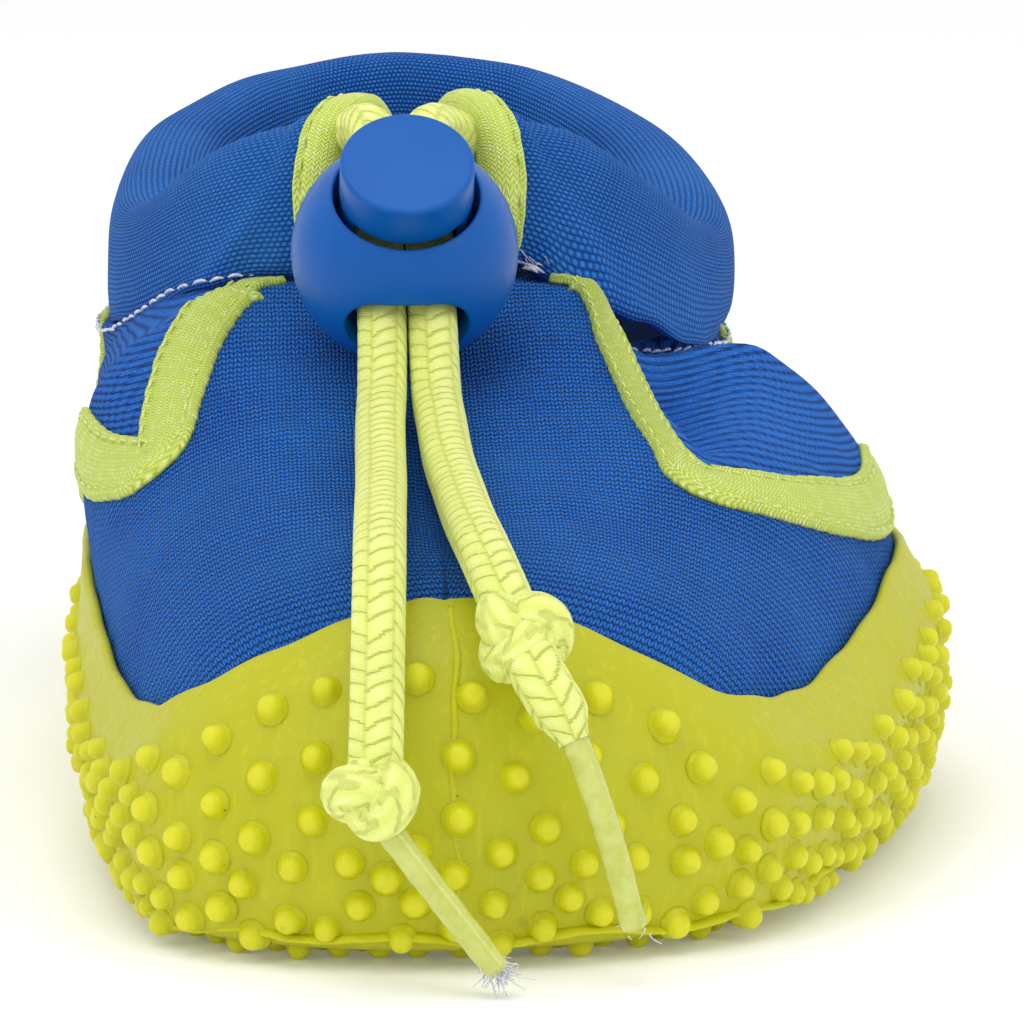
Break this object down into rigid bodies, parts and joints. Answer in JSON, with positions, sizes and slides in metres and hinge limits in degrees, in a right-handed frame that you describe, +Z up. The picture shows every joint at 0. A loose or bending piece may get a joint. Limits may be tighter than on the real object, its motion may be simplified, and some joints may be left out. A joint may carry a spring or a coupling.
{
  "type": "water shoe",
  "caption": "Child's low-cut neoprene water shoe: nubbed rubber cup sole, padded collar, drawcord and push-button ball cord lock.",
  "frame": {"origin": "on the ground under the middle of the sole's length and width", "axes": "+Z up; the toe points to -Y and the heel to +Y; +X is the outer (lateral) side of this left shoe"},
  "size_m": [0.0754, 0.1864, 0.0597],
  "materials": {
    "rubber": "moulded, satin, with a nubbed surface",
    "knit": "fine knit bonded to neoprene foam",
    "collar_knit": "soft piqué knit over foam",
    "tape": "ribbed webbing with two rows of stitches",
    "cord": "round braided cord",
    "tip": "translucent heat-shrunk tube",
    "lock": "moulded, satin",
    "thread": "spun sewing thread",
    "lining": "foam faced with a dark knit",
    "board": "non-woven lasting board",
    "steel": "spring wire"
  },
  "bodies": {
    "shoe": {"outsole": "rubber", "lasting_board": "board", "insole": "lining", "vamp": "knit", "quarter_lateral": "knit", "quarter_medial": "knit", "heel_panel": "knit", "trim_tape_lateral": "tape", "trim_tape_medial": "tape", "collar": "collar_knit", "collar_binding_lateral": "tape", "collar_binding_medial": "tape", "collar_seam_thread": "thread", "throat_bartack": "thread", "drawcord_loop": "cord", "drawcord_end_left": "cord", "drawcord_end_right": "cord", "cord_knot_left": "cord", "cord_knot_right": "cord", "cord_tip_left": "tip", "cord_tip_right": "tip"},
    "cord_lock": {"lock_barrel": "lock", "lock_spring": "steel"},
    "lock_button": {"lock_plunger": "lock"}
  },
  "joints": [
    {"name": "lock_slide", "type": "slide", "parent": "shoe", "child": "cord_lock", "axis": [0, 0.7431, 0.6691], "range_m": [0, 0.003]},
    {"name": "plunger_press", "type": "slide", "parent": "cord_lock", "child": "lock_button", "axis": [0, 0.6691, -0.7431], "range_m": [0, 0.003], "stiffness_N_per_m": 1000, "springref_m": -0.004, "deforming": ["lock_spring"]}
  ]
}
